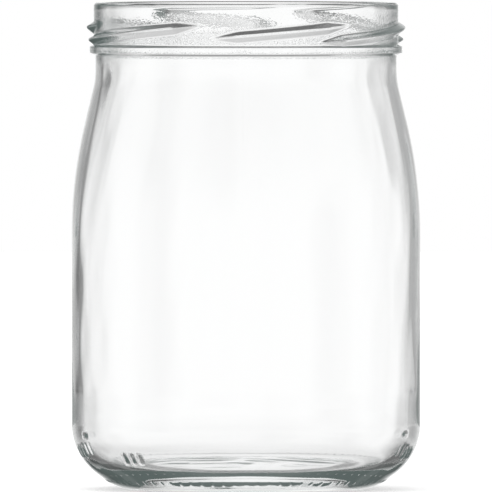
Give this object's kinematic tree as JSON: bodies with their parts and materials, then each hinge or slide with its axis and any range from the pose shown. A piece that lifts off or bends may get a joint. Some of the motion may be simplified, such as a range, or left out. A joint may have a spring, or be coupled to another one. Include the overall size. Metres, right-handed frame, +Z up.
{
  "type": "glass canning jar",
  "caption": "Empty round jar of clear glass with a screw finish of short lugs, a sloping shoulder and a rounded, knurled base.",
  "frame": {"origin": "middle of the base, on the surface that the jar stands on", "axes": "+Z up along the jar's axis, -Y towards the front, where a mould seam runs up the wall, +X to the right"},
  "size_m": [0.09, 0.09, 0.1256],
  "materials": {
    "glass": "clear soda-lime glass, fire polished"
  },
  "bodies": {
    "root": {"jar": "glass"}
  },
  "joints": []
}
